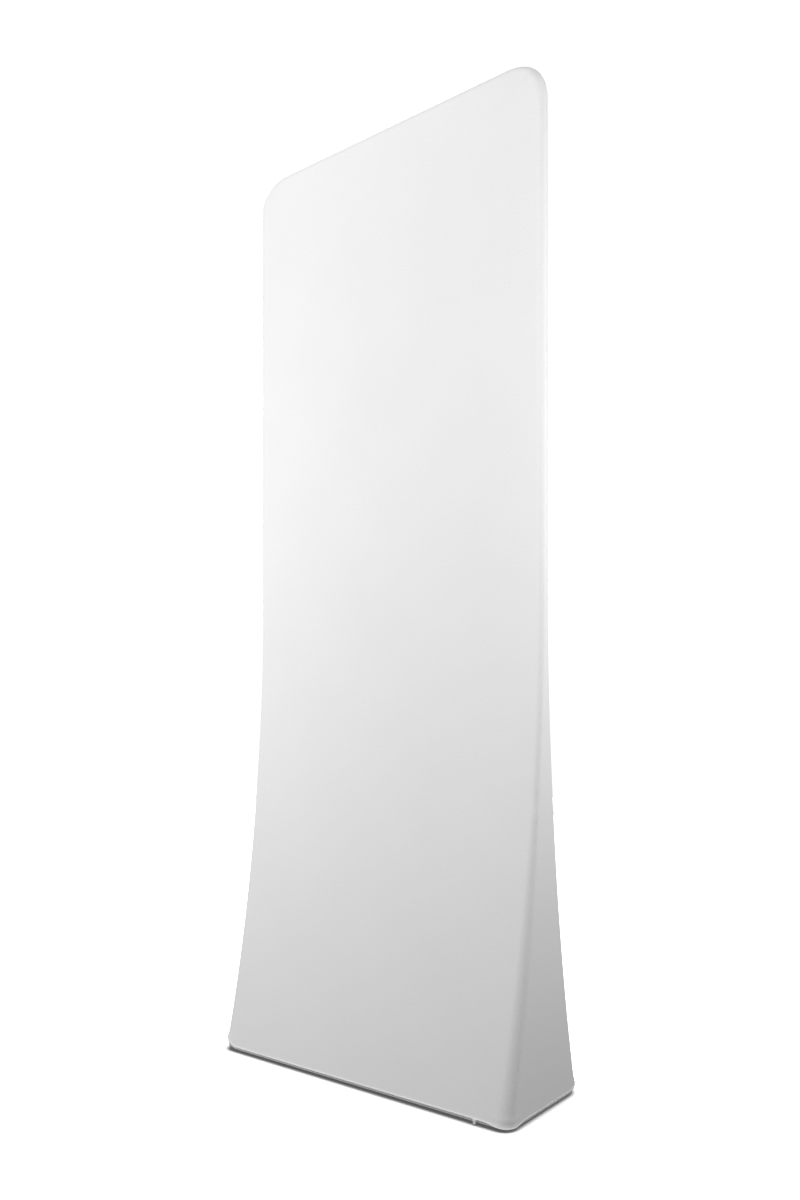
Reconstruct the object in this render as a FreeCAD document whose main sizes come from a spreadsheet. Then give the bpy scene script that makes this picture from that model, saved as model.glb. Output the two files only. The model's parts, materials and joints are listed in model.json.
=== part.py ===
"""Fabric display tower: a stretch-fabric sleeve over a knock-down tube frame on a base plate.

Millimetres, +Z up, origin on the floor under the middle of the tower, front towards -Y.
"""
import FreeCAD, Part
import Sketcher
import math
import os
from FreeCAD import Matrix, Placement, Rotation, Vector

doc = FreeCAD.newDocument("display_tower")

# Driving dimensions in millimetres
DIMENSIONS = (
    ("overall_height", 2380, "floor to the top of the sleeve"),
    ("overall_width", 900, "side to side over the sleeve"),
    ("base_depth", 320, "front to back over the sleeve at its hem"),
    ("flare_height", 1180, "where front and rear legs part"),
    ("joint_height", 670, "where the lower legs plug on"),
    ("hem_corner", 34, "corner radius of hem, zip and flap, seen from above"),
    ("leg_setback", 7.5, "foot of a leg behind the taut fabric, front to back"),
    ("leg_inset", 3.0, "foot of a leg leaning in from the side"),
    ("leg_clearance", 0.3, "leg tube above the base plate"),
    ("bend_radius", 80, "centreline radius of the top elbows"),
    ("elbow_spare", 5, "straight tube between a spigot's end and an elbow's bend"),
    ("tube_diameter", 32, "outside of every frame tube"),
    ("tube_wall", 1.5, "wall of every frame tube"),
    ("fabric_thickness", 1.0, "stretch fabric with its lining"),
    ("fabric_gap", 0.4, "sleeve to frame"),
    ("edge_flat", 0.4, "flat left between the sleeve's two rounded edges"),
    ("seam_inset", 5.0, "gusset seam inwards from the sleeve's side"),
    ("spigot_length", 100, "spigot across a tube joint"),
    ("spigot_wall", 2.0, "wall of a spigot or post"),
    ("spigot_clearance", 0.15, "spigot to tube bore, each side"),
    ("lock_offset", 25, "joint line to the button or the rivet"),
    ("button_diameter", 8, "spring button's pin"),
    ("button_clearance", 0.3, "pin to its holes, each side"),
    ("button_proud", 2.5, "pin beyond the tube"),
    ("button_tip", 1.2, "length of the pin's tapered tip"),
    ("collar_rim", 1.5, "collar beyond the pin, each side"),
    ("collar_thickness", 1.2, "collar inside the spigot"),
    ("collar_gap", 0.35, "collar to the spigot's wall"),
    ("spring_strip", 0.6, "thickness of a hairpin spring"),
    ("spring_width", 6, "width of a hairpin spring"),
    ("spring_arm", 24, "straight arm past the button"),
    ("rivet_diameter", 4.8, "blind rivet's shank"),
    ("rivet_head", 9.5, "blind rivet's head"),
    ("rivet_head_height", 1.2, "blind rivet's head"),
    ("rivet_tail", 1.2, "rivet beyond the spigot's wall"),
    ("rivet_clearance", 0.1, "rivet to its holes, each side"),
    ("plate_thickness", 6, "base plate"),
    ("plate_inset", 5, "base plate's edge inwards from the hem"),
    ("post_height", 70, "leg post above the base plate, along the leg"),
    ("post_floor", 20, "solid foot of a leg post"),
    ("post_button", 46, "button above the base plate, along the leg"),
    ("post_screw", 8, "screw up into a leg post"),
    ("post_screw_head", 15, "countersunk head"),
    ("post_screw_depth", 10, "screw above the base plate"),
    ("screw_clearance", 0.1, "screw to its holes, each side"),
    ("foot_height", 6, "rubber foot"),
    ("foot_diameter", 36, "rubber foot at its top"),
    ("foot_taper", 1.0, "foot narrower at the floor, each side"),
    ("foot_inset_x", 62, "foot inwards from the sleeve's side"),
    ("foot_inset_y", 48, "foot inwards from the hem"),
    ("foot_screw", 6, "screw through a foot"),
    ("foot_screw_head", 11, "head of that screw"),
    ("foot_screw_head_height", 2.2, "head of that screw"),
    ("foot_recess", 3.4, "head recess, from the floor"),
    ("crossbar_rise", 110, "crossbar above the flare"),
    ("crossbar_diameter", 25, "crossbar tube"),
    ("crossbar_wall", 1.5, "crossbar tube"),
    ("plug_grip", 30, "end plug inside the crossbar"),
    ("plug_collar", 14, "end plug between crossbar and upright"),
    ("plug_clearance", 0.15, "end plug to bore or upright"),
    ("peg_diameter", 10, "end plug's peg"),
    ("peg_reach", 6, "peg inside the upright's wall"),
    ("zip_half", 1.7, "height of one zip half"),
    ("zip_gap", 1.6, "between the two halves"),
    ("zip_thickness", 1.2, "zip halves, front to back"),
    ("slider_inset", 87, "zip slider inwards from the right side"),
    ("slider_length", 9, "zip slider along the hem"),
    ("slider_plate", 1.2, "front and back plate of the slider"),
    ("slider_clearance", 0.3, "slider to zip and flap"),
    ("slider_lip", 1.0, "slider above the zip and below it"),
    ("neck_length", 2.5, "neck between the slider's plates"),
    ("ear_thickness", 1.0, "ears that hold the puller's pin"),
    ("puller_pin", 1.6, "pin that the puller turns on"),
    ("puller_eye", 3.8, "outside of the puller's eye"),
    ("puller_clearance", 0.3, "puller to its pin and ears"),
    ("puller_length", 8, "pin to the puller's tip"),
    ("puller_thickness", 1.2, "puller's tab"),
)

# Sizes that follow from the driving dimensions
WORKED_SIZES = (
    ("tube_radius", "Sizes.tube_diameter / 2"),
    ("bore_radius", "tube_radius - Sizes.tube_wall"),
    ("skin_radius", "tube_radius + Sizes.fabric_gap + Sizes.fabric_thickness"),
    ("half_width", "Sizes.overall_width / 2"),
    ("half_depth", "Sizes.base_depth / 2"),
    ("post_x", "half_width - skin_radius"),
    ("top_axis", "Sizes.overall_height - skin_radius"),
    ("flap_top", "Sizes.foot_height + Sizes.fabric_thickness"),
    ("plate_top", "flap_top + Sizes.plate_thickness"),
    ("zip_mid", "flap_top + Sizes.zip_half + Sizes.zip_gap / 2"),
    ("hem", "flap_top + 2 * Sizes.zip_half + Sizes.zip_gap"),
    ("flare_rise", "Sizes.flare_height - hem"),
    ("skin_reach", "half_depth - skin_radius"),
    ("skin_bend", "(flare_rise ^ 2 + skin_reach ^ 2) / (2 * skin_reach)"),
    ("skin_centre", "skin_bend + skin_radius"),
    ("leg_reach", "skin_reach - Sizes.leg_setback"),
    ("leg_bend", "(flare_rise ^ 2 + leg_reach ^ 2) / (2 * leg_reach)"),
    ("leg_lean", "asin(Sizes.leg_inset / flare_rise)"),
    ("joint_angle", "asin((Sizes.flare_height - Sizes.joint_height) / leg_bend)"),
    ("leg_end_angle", "asin((Sizes.flare_height - plate_top - Sizes.leg_clearance) / (leg_bend + tube_radius))"),
    ("plate_angle", "asin((Sizes.flare_height - plate_top) / leg_bend)"),
    ("leg_angle", "leg_end_angle - joint_angle"),
    ("spigot_radius", "bore_radius - Sizes.spigot_clearance"),
    ("spigot_bore", "spigot_radius - Sizes.spigot_wall"),
    ("spigot_angle", "Sizes.spigot_length / leg_bend * 180 / pi"),
    ("post_angle", "Sizes.post_height / leg_bend * 180 / pi"),
    ("elbow_leg", "Sizes.spigot_length / 2 + Sizes.elbow_spare"),
    ("elbow_end", "top_axis - Sizes.bend_radius - elbow_leg"),
    ("rail_end", "post_x - Sizes.bend_radius - elbow_leg"),
    ("sleeve_corner", "Sizes.bend_radius + skin_radius"),
    ("sleeve_edge", "skin_radius - Sizes.edge_flat"),
    ("pin_radius", "Sizes.button_diameter / 2"),
    ("pin_hole", "pin_radius + Sizes.button_clearance"),
    ("collar_radius", "pin_radius + Sizes.collar_rim"),
    ("collar_top", "sqrt(spigot_bore ^ 2 - collar_radius ^ 2) - Sizes.collar_gap"),
    ("collar_back", "collar_top - Sizes.collar_thickness"),
    ("pin_end", "tube_radius + Sizes.button_proud - Sizes.button_tip"),
    ("spring_wall", "sqrt(spigot_bore ^ 2 - (Sizes.spring_width / 2) ^ 2) - Sizes.spigot_clearance"),
    ("spring_turn", "(collar_back + spring_wall) / 2"),
    ("rivet_radius", "Sizes.rivet_diameter / 2"),
    ("rivet_hole", "rivet_radius + Sizes.rivet_clearance"),
    ("plate_width", "Sizes.overall_width - 2 * Sizes.plate_inset"),
    ("plate_depth", "Sizes.base_depth - 2 * Sizes.plate_inset"),
    ("plate_corner", "Sizes.hem_corner - Sizes.plate_inset"),
    ("foot_x", "half_width - Sizes.foot_inset_x"),
    ("foot_y", "half_depth - Sizes.foot_inset_y"),
    ("foot_radius", "Sizes.foot_diameter / 2"),
    ("peg_radius", "Sizes.peg_diameter / 2"),
    ("crossbar_height", "Sizes.flare_height + Sizes.crossbar_rise"),
    ("crossbar_radius", "Sizes.crossbar_diameter / 2"),
    ("crossbar_bore", "crossbar_radius - Sizes.crossbar_wall"),
    ("crossbar_end", "post_x - tube_radius - Sizes.plug_collar"),
    ("slider_x", "half_width - Sizes.slider_inset"),
    ("slider_front", "half_depth + Sizes.slider_clearance + Sizes.slider_plate"),
    ("slider_back", "half_depth - Sizes.zip_thickness - Sizes.slider_clearance"),
    ("slider_top", "hem + Sizes.slider_lip"),
    ("slider_foot", "flap_top - Sizes.slider_lip"),
    ("neck_height", "Sizes.zip_gap - 2 * Sizes.slider_clearance"),
    ("pin_line", "slider_front + Sizes.slider_clearance + Sizes.puller_eye / 2"),
    ("pin_height", "slider_top - Sizes.puller_eye / 2"),
    ("puller_half", "Sizes.slider_length / 2 - Sizes.ear_thickness - Sizes.puller_clearance"),
)

SIDES = (("left", -1), ("right", 1))
ENDS = (("front", -1), ("rear", 1))
DOWN = Vector(0, 0, -1)
UP = Vector(0, 0, 1)


def fill_sheet(name, rows):
    """A spreadsheet with one aliased cell per row: name, cell text and an optional note."""
    sheet = doc.addObject("Spreadsheet::Sheet", name)
    for line, row in enumerate(rows, start=1):
        sheet.set(f"A{line}", row[0])
        sheet.set(f"B{line}", row[1])
        sheet.setAlias(f"B{line}", row[0])
        if len(row) > 2:
            sheet.set(f"C{line}", row[2])
    return sheet


sizes = fill_sheet("Sizes", [(alias, str(number), note) for alias, number, note in DIMENSIONS])
worked = fill_sheet("Worked", [(alias, "=" + formula) for alias, formula in WORKED_SIZES])
doc.recompute()


def amount(expression):
    """The number that an expression on the two sheets stands for."""
    result = sizes.evalExpression(expression)
    return float(getattr(result, "Value", result))


def bind(item, **expressions):
    for name, expression in expressions.items():
        item.setExpression(name, expression)


def add(kind, name, placement=None, **expressions):
    """A Part primitive whose sizes are bound to the sheets."""
    item = doc.addObject(kind, name)
    bind(item, **expressions)
    if placement is not None:
        item.Placement = placement
    return item


def name_node(item, label):
    item.Label = label
    nodes.append(item)
    return item


nodes = []


def frame_at(origin, along_x, along_z):
    """Placement whose local X and Z point along the two given directions."""
    along_y = along_z.cross(along_x)
    return Placement(
        Matrix(
            along_x.x, along_y.x, along_z.x, origin.x,
            along_x.y, along_y.y, along_z.y, origin.y,
            along_x.z, along_y.z, along_z.z, origin.z,
            0, 0, 0, 1,
        )
    )


def shifted(placement, x=0.0, y=0.0, z=0.0):
    return placement.multiply(Placement(Vector(x, y, z), Rotation()))


def pointing_x(placement, reach=0.0):
    """A cylinder placed here lies along the local X axis, starting at reach."""
    turn = Rotation(Vector(0, 1, 0), 90)
    return placement.multiply(Placement(Vector(reach, 0, 0), turn))


def combine(kind, name, base, tool):
    item = doc.addObject(kind, name)
    item.Base = base
    item.Tool = tool
    return item


def fuse(name, members):
    item = doc.addObject("Part::MultiFuse", name)
    item.Shapes = members
    item.Refine = True
    return item


def group(name, members):
    item = doc.addObject("Part::Compound", name)
    item.Links = members
    return item


def drilled(name, solid, holes):
    """Cuts round holes along local X of the given frames: (frame, radius expression)."""
    for number, (frame, radius) in enumerate(holes, start=1):
        drill = add("Part::Cylinder", f"{name}_drill{number}", pointing_x(frame),
                    Radius=radius, Height="Sizes.tube_diameter")
        solid = combine("Part::Cut", f"{name}_cut{number}", solid, drill)
    return solid


# Sketches

def origin_plane(body, role):
    return next(plane for plane in body.Origin.OriginFeatures if plane.Role == role)


def new_body(name):
    return doc.addObject("PartDesign::Body", name)


def new_sketch(body, role, name):
    sketch = body.newObject("Sketcher::SketchObject", name)
    sketch.AttachmentSupport = [(origin_plane(body, role), "")]
    sketch.MapMode = "FlatFace"
    return sketch


def magnitude(expression):
    """Splits an expression with an optional leading minus into its sign and its positive part."""
    if expression.startswith("-"):
        return -1, expression[1:]
    return 1, expression


def coordinate(expression):
    sign, positive = magnitude(expression)
    return sign * amount(positive)


def fix_coordinate(sketch, geometry, end, kind, expression):
    """Ties one coordinate of a sketch point to the sheets, measured from the sketch's origin."""
    sign, positive = magnitude(expression)
    if abs(amount(positive)) < 1e-9:
        axis = -2 if kind == "DistanceX" else -1
        sketch.addConstraint(Sketcher.Constraint("PointOnObject", geometry, end, axis))
        return
    ends = (-1, 1, geometry, end) if sign > 0 else (geometry, end, -1, 1)
    index = sketch.addConstraint(Sketcher.Constraint(kind, *ends, amount(positive)))
    sketch.setExpression(f"Constraints[{index}]", positive)


def outline(sketch, corners, arcs=None):
    """A closed outline through corners (x, y expressions).

    arcs maps a corner's number to the centre (x, y expressions) of the arc that leaves it, followed by
    the centre's coordinate that is dimensioned.
    """
    arcs = arcs or {}
    points = [Vector(coordinate(x), coordinate(y), 0) for x, y in corners]
    pieces = []
    for number, start in enumerate(points):
        finish = points[(number + 1) % len(points)]
        if number not in arcs:
            pieces.append((sketch.addGeometry(Part.LineSegment(start, finish)), 1, 2))
            continue
        centre_x, centre_y, dimensioned = arcs[number]
        centre = Vector(coordinate(centre_x), coordinate(centre_y), 0)
        first = math.atan2(start.y - centre.y, start.x - centre.x)
        last = math.atan2(finish.y - centre.y, finish.x - centre.x)
        forward = (last - first) % (2 * math.pi) < math.pi
        begin, end = (first, last) if forward else (last, first)
        circle = Part.Circle(centre, UP, (start - centre).Length)
        index = sketch.addGeometry(Part.ArcOfCircle(circle, begin, end))
        pieces.append((index, 1, 2) if forward else (index, 2, 1))
        expression = centre_x if dimensioned == "DistanceX" else centre_y
        fix_coordinate(sketch, index, 3, dimensioned, expression)
    for number, (index, begin, end) in enumerate(pieces):
        following = pieces[(number + 1) % len(pieces)]
        sketch.addConstraint(Sketcher.Constraint("Coincident", index, end, following[0], following[1]))
        fix_coordinate(sketch, index, begin, "DistanceX", corners[number][0])
        fix_coordinate(sketch, index, begin, "DistanceY", corners[number][1])


def ring_profile(sketch, *radii):
    """Concentric circles about the sketch's origin."""
    for radius in radii:
        index = sketch.addGeometry(Part.Circle(Vector(), UP, amount(radius)))
        sketch.addConstraint(Sketcher.Constraint("Coincident", index, 3, -1, 1))
        size = sketch.addConstraint(Sketcher.Constraint("Radius", index, amount(radius)))
        sketch.setExpression(f"Constraints[{size}]", radius)


def pad(body, sketch, length, symmetric=False):
    feature = body.newObject("PartDesign::Pad", f"{body.Name}_pad")
    feature.Profile = sketch
    feature.setExpression("Length", length)
    if symmetric:
        feature.SideType = "Symmetric"
    return feature


def slab(name, width, depth, height, corner, base_height):
    """A flat plate with rounded corners, centred on the Z axis."""
    body = new_body(name)
    sketch = new_sketch(body, "XY_Plane", f"{name}_outline")
    half_x = f"({width}) / 2"
    half_y = f"({depth}) / 2"
    outline(sketch, [(f"-{half_x}", f"-{half_y}"), (half_x, f"-{half_y}"),
                     (half_x, half_y), (f"-{half_x}", half_y)])
    plate = pad(body, sketch, height)
    doc.recompute()
    upright = [f"Edge{number}" for number, edge in enumerate(plate.Shape.Edges, start=1)
               if abs(edge.tangentAt(edge.FirstParameter).z) > 0.9]
    rounding = body.newObject("PartDesign::Fillet", f"{name}_corners")
    rounding.Base = (plate, upright)
    rounding.setExpression("Radius", corner)
    body.Tip = rounding
    body.setExpression("Placement.Base.z", base_height)
    return body


def bar(name, start, finish):
    """A box between two corners (x, y, z expressions)."""
    item = doc.addObject("Part::Box", name)
    for axis, size, low, high in zip("xyz", ("Length", "Width", "Height"), start, finish):
        item.setExpression(size, f"({high}) - ({low})")
        item.setExpression(f"Placement.Base.{axis}", low)
    return item


# Frames on the tube axes

def post_axis(side, height):
    return Vector(side * amount("Worked.post_x"), 0, height)


def post_frame(side, height):
    """On an upright's axis: X inwards, Z up."""
    return frame_at(post_axis(side, height), Vector(-side, 0, 0), UP)


def rail_frame(side, reach):
    """On the top rail's axis: X down, Z towards the side."""
    origin = Vector(side * reach, 0, amount("Worked.top_axis"))
    return frame_at(origin, DOWN, Vector(side, 0, 0))


def arc_frame(side, end, angle):
    """Arc centre of one leg, turned so that an arc solid starts at this angle below level."""
    across = Vector(0, -end, 0)
    centre = Vector(side * amount("Worked.post_x"), end * amount("Worked.leg_bend"),
                    amount("Sizes.flare_height"))
    level = frame_at(centre, across, Vector(end, 0, 0))
    lean = Rotation(Vector(0, 1, 0), side * amount("Worked.leg_lean"))
    leaning = Placement(Vector(), lean, post_axis(side, amount("Sizes.flare_height")))
    return leaning.multiply(level).multiply(Placement(Vector(), Rotation(UP, angle)))


def leg_frame(side, end, angle):
    """On a leg's axis at this angle: X inwards to the other side, Z up along the leg."""
    turned = arc_frame(side, end, angle)
    origin = turned.multVec(Vector(amount("Worked.leg_bend"), 0, 0))
    inwards = turned.Rotation.multVec(Vector(0, 0, -side * end))
    upwards = turned.Rotation.multVec(Vector(0, -1, 0))
    return frame_at(origin, inwards, upwards)


def along_leg(distance):
    """Angle that a distance along a leg takes up."""
    return math.degrees(amount(distance) / amount("Worked.leg_bend"))


# Tube pieces

def straight_tube(name, frame, outer, inner, length):
    outside = add("Part::Cylinder", f"{name}_outside", frame, Radius=outer, Height=length)
    bore = add("Part::Cylinder", f"{name}_bore", frame, Radius=inner, Height=length)
    return combine("Part::Cut", f"{name}_tube", outside, bore)


def arc_rod(name, frame, radius, angle):
    """A round bar bent to the legs' radius."""
    return add("Part::Torus", name, frame,
               Radius1="Worked.leg_bend", Radius2=radius, Angle3=angle)


def arc_tube(name, frame, outer, inner, angle):
    outside = arc_rod(f"{name}_outside", frame, outer, angle)
    bore = arc_rod(f"{name}_bore", frame, inner, angle)
    return combine("Part::Cut", f"{name}_tube", outside, bore)


def make_elbow(label, side, holes):
    """Bent tube from an upright's top to the top rail."""
    body = new_body(f"{label}_bend")
    path = new_sketch(body, "XZ_Plane", f"{label}_path")
    leg = amount("Worked.elbow_leg")
    bend = amount("Sizes.bend_radius")
    first = path.addGeometry(Part.LineSegment(Vector(0, 0, 0), Vector(0, leg, 0)))
    circle = Part.Circle(Vector(-bend, leg, 0), UP, bend)
    corner = path.addGeometry(Part.ArcOfCircle(circle, 0, math.pi / 2))
    last = path.addGeometry(Part.LineSegment(Vector(-bend, leg + bend, 0), Vector(-bend - leg, leg + bend, 0)))
    path.addConstraint(Sketcher.Constraint("Coincident", first, 1, -1, 1))
    path.addConstraint(Sketcher.Constraint("Vertical", first))
    path.addConstraint(Sketcher.Constraint("Tangent", first, 2, corner, 1))
    path.addConstraint(Sketcher.Constraint("Tangent", corner, 2, last, 1))
    path.addConstraint(Sketcher.Constraint("Horizontal", last))
    path.addConstraint(Sketcher.Constraint("Equal", first, last))
    length = path.addConstraint(Sketcher.Constraint("Distance", first, leg))
    path.setExpression(f"Constraints[{length}]", "Worked.elbow_leg")
    radius = path.addConstraint(Sketcher.Constraint("Radius", corner, bend))
    path.setExpression(f"Constraints[{radius}]", "Sizes.bend_radius")
    section = new_sketch(body, "XY_Plane", f"{label}_section")
    ring_profile(section, "Worked.tube_radius", "Worked.bore_radius")
    pipe = body.newObject("PartDesign::AdditivePipe", f"{label}_pipe")
    pipe.Profile = section
    pipe.Spine = (path, ["Edge1", "Edge2", "Edge3"])
    body.Tip = pipe
    turn = Rotation(UP, 0 if side > 0 else 180)
    body.Placement = Placement(post_axis(side, amount("Worked.elbow_end")), turn)
    return name_node(drilled(label, body, holes), label)


def make_wishbone(label, side, holes):
    """Welded Y: a front and a rear arm, each kept on its own side of the middle plane."""
    halves = []
    for end_name, end in ENDS:
        name = f"{label}_{end_name}"
        frame = arc_frame(side, end, 0)
        outside = arc_rod(f"{name}_outside", frame, "Worked.tube_radius", "Worked.joint_angle")
        half = doc.addObject("Part::Box", f"{name}_half")
        bind(half, Length="2 * Sizes.tube_diameter", Width="Sizes.base_depth",
             Height="2 * (Sizes.flare_height - Sizes.joint_height)")
        half.Placement.Base = Vector(
            side * amount("Worked.post_x") - amount("Sizes.tube_diameter"),
            0 if end > 0 else -amount("Sizes.base_depth"),
            amount("2 * Sizes.joint_height - Sizes.flare_height"),
        )
        clipped = combine("Part::Common", f"{name}_clipped", outside, half)
        bore = arc_rod(f"{name}_bore", frame, "Worked.bore_radius", "Worked.joint_angle")
        halves.append(combine("Part::Cut", f"{name}_arm", clipped, bore))
    return name_node(drilled(label, fuse(f"{label}_weld", halves), holes), label)


def make_post(label, side, end, hole):
    """Leg post on the base plate: bent like the leg, flat underneath, solid at its foot."""
    plate_angle = amount("Worked.plate_angle")
    top_angle = plate_angle - along_leg("Sizes.post_height")
    frame = arc_frame(side, end, top_angle)
    rod = arc_rod(f"{label}_rod", frame, "Worked.spigot_radius", "2 * Worked.post_angle")
    bore = arc_rod(f"{label}_bore", frame, "Worked.spigot_bore",
                   "Worked.post_angle * (1 - Sizes.post_floor / Sizes.post_height)")
    below = bar(f"{label}_below",
                ("-Sizes.overall_width", "-Sizes.base_depth", "Worked.plate_top - 2 * Sizes.post_height"),
                ("Sizes.overall_width", "Sizes.base_depth", "Worked.plate_top"))
    standing = combine("Part::Cut", f"{label}_standing", rod, below)
    hollow = combine("Part::Cut", f"{label}_hollow", standing, bore)
    tapped = add("Part::Cylinder", f"{label}_tapped",
                 Placement(post_foot(side, end), Rotation()),
                 Radius="Sizes.post_screw / 2 + Sizes.screw_clearance",
                 Height="Sizes.post_screw_depth + Sizes.screw_clearance")
    threaded = combine("Part::Cut", f"{label}_threaded", hollow, tapped)
    return name_node(drilled(label, threaded, [hole]), label)


def post_foot(side, end):
    """Middle of a leg post's underside on the base plate."""
    foot = leg_frame(side, end, amount("Worked.plate_angle")).Base
    return Vector(foot.x, foot.y, amount("Worked.plate_top"))


# Joint hardware

def make_button(label, frame):
    """Spring button: a collar inside the spigot and a pin with a tapered tip through the tube."""
    collar = add("Part::Cylinder", f"{label}_collar", pointing_x(frame, amount("Worked.collar_back")),
                 Radius="Worked.collar_radius", Height="Sizes.collar_thickness")
    pin = add("Part::Cylinder", f"{label}_pin", pointing_x(frame, amount("Worked.collar_back")),
              Radius="Worked.pin_radius", Height="Worked.pin_end - Worked.collar_back")
    tip = add("Part::Cone", f"{label}_tip", pointing_x(frame, amount("Worked.pin_end")),
              Radius1="Worked.pin_radius", Radius2="Worked.pin_radius - Sizes.button_tip",
              Height="Sizes.button_tip")
    return name_node(fuse(f"{label}_all", [collar, pin, tip]), label)


def make_spring(name, frame):
    """Hairpin spring: one arm behind the button, one on the far wall, joined by a half ring."""
    half_wide = "Sizes.spring_width / 2"
    start = "Sizes.button_diameter"
    ring_frame = shifted(frame, amount("Worked.collar_back - Worked.spring_turn"),
                         -amount(half_wide), amount("Sizes.spring_arm"))
    ring_frame = ring_frame.multiply(Placement(Vector(), Rotation(Vector(1, 0, 0), -90)))
    turn = ring_frame.multiply(Placement(Vector(), Rotation(UP, 180)))
    outside = add("Part::Cylinder", f"{name}_outside", turn, Radius="Worked.spring_turn",
                  Height="Sizes.spring_width", Angle="180")
    inside = add("Part::Cylinder", f"{name}_inside", turn,
                 Radius="Worked.spring_turn - Sizes.spring_strip", Height="Sizes.spring_width", Angle="180")
    loop = combine("Part::Cut", f"{name}_loop", outside, inside)
    arms = [loop]
    reaches = ("Worked.collar_back - Sizes.spring_strip", "-Worked.spring_wall")
    for number, reach in enumerate(reaches, start=1):
        corner = shifted(frame, coordinate(reach), -amount(half_wide), -amount(start))
        arms.append(add("Part::Box", f"{name}_arm{number}", corner, Length="Sizes.spring_strip",
                        Width="Sizes.spring_width", Height=f"Sizes.spring_arm + {start}"))
    return fuse(name, arms)


def make_rivet(name, frame):
    """Blind rivet through a tube and its spigot."""
    start = amount("Worked.spigot_bore - Sizes.rivet_tail")
    shank = add("Part::Cylinder", f"{name}_shank", pointing_x(frame, start), Radius="Worked.rivet_radius",
                Height="Worked.tube_radius - Worked.spigot_bore + Sizes.rivet_tail")
    head = add("Part::Cone", f"{name}_head", pointing_x(frame, amount("Worked.tube_radius")),
               Radius1="Sizes.rivet_head / 2", Radius2="Sizes.rivet_head / 4", Height="Sizes.rivet_head_height")
    return fuse(name, [shank, head])


def make_joint(label, button_frame, rivet_frame, spigot):
    """Button, spring and rivet of one tube joint, and the spigot drilled for them."""
    name_node(drilled(f"{label}_spigot", spigot,
                      [(button_frame, "Worked.pin_hole"), (rivet_frame, "Worked.rivet_hole")]),
              f"{label}_spigot")
    make_button(f"{label}_button", button_frame)
    springs.append(make_spring(f"{label}_spring", button_frame))
    rivets.append(make_rivet(f"{label}_rivet", rivet_frame))


springs = []
rivets = []


def make_side(side_name, side):
    """Everything from the base plate to the top rail on one side of the frame."""
    lock = amount("Sizes.lock_offset")
    half_spigot = amount("Sizes.spigot_length / 2")
    flare = amount("Sizes.flare_height")
    elbow_end = amount("Worked.elbow_end")
    rail_end = amount("Worked.rail_end")
    joint = amount("Worked.joint_angle")
    lock_angle = along_leg("Sizes.lock_offset")
    pin_hole = "Worked.pin_hole"
    rivet_hole = "Worked.rivet_hole"

    elbow_rivet = post_frame(side, elbow_end + lock)
    upright_top = post_frame(side, elbow_end - lock)
    upright_low = post_frame(side, flare + lock)
    wishbone_top = post_frame(side, flare - lock)
    rail_rivet = rail_frame(side, rail_end + lock)
    rail_button = rail_frame(side, rail_end - lock)
    peg_frame = post_frame(side, amount("Worked.crossbar_height"))

    make_elbow(f"top_elbow_{side_name}", side, [(elbow_rivet, rivet_hole), (rail_rivet, rivet_hole)])
    upright = straight_tube(f"upright_{side_name}", post_frame(side, flare), "Worked.tube_radius",
                            "Worked.bore_radius", "Worked.elbow_end - Sizes.flare_height")
    holes = [(upright_top, pin_hole), (upright_low, rivet_hole),
             (peg_frame, "Worked.peg_radius + Sizes.plug_clearance")]
    name_node(drilled(f"upright_{side_name}", upright, holes), f"upright_{side_name}")
    arm_rivets = [(leg_frame(side, end, joint - lock_angle), rivet_hole) for _, end in ENDS]
    make_wishbone(f"wishbone_{side_name}", side, [(wishbone_top, pin_hole)] + arm_rivets)

    spigot = ("Worked.spigot_radius", "Worked.spigot_bore", "Sizes.spigot_length")
    make_joint(f"elbow_{side_name}", upright_top, elbow_rivet,
               straight_tube(f"elbow_{side_name}_spigot", post_frame(side, elbow_end - half_spigot), *spigot))
    make_joint(f"rail_{side_name}", rail_button, rail_rivet,
               straight_tube(f"rail_{side_name}_spigot", rail_frame(side, rail_end - half_spigot), *spigot))
    make_joint(f"upright_{side_name}", wishbone_top, upright_low,
               straight_tube(f"upright_{side_name}_spigot", post_frame(side, flare - half_spigot), *spigot))
    for end_name, end in ENDS:
        make_leg(f"{end_name}_{side_name}", side, end, joint, lock_angle)


def make_leg(place, side, end, joint, lock_angle):
    """One lower leg with the spigot above it and the post below it."""
    plate_angle = amount("Worked.plate_angle")
    top_button = leg_frame(side, end, joint + lock_angle)
    arm_rivet = leg_frame(side, end, joint - lock_angle)
    low_button = leg_frame(side, end, plate_angle - along_leg("Sizes.post_button"))
    tube = arc_tube(f"leg_{place}", arc_frame(side, end, joint), "Worked.tube_radius",
                    "Worked.bore_radius", "Worked.leg_angle")
    holes = [(top_button, "Worked.pin_hole"), (low_button, "Worked.pin_hole")]
    name_node(drilled(f"leg_{place}", tube, holes), f"leg_{place}")
    spigot = arc_tube(f"leg_{place}_spigot", arc_frame(side, end, joint - along_leg("Sizes.spigot_length / 2")),
                      "Worked.spigot_radius", "Worked.spigot_bore", "Worked.spigot_angle")
    make_joint(f"leg_{place}", top_button, arm_rivet, spigot)
    make_post(f"post_{place}", side, end, (low_button, "Worked.pin_hole"))
    make_button(f"post_{place}_button", low_button)
    springs.append(make_spring(f"post_{place}_spring", low_button))


def make_top_rail():
    left_end = rail_frame(1, -amount("Worked.rail_end"))
    tube = straight_tube("top_rail", left_end, "Worked.tube_radius", "Worked.bore_radius",
                         "2 * Worked.rail_end")
    reach = amount("Worked.rail_end - Sizes.lock_offset")
    holes = [(rail_frame(side, reach), "Worked.pin_hole") for _, side in SIDES]
    name_node(drilled("top_rail", tube, holes), "top_rail")


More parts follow.
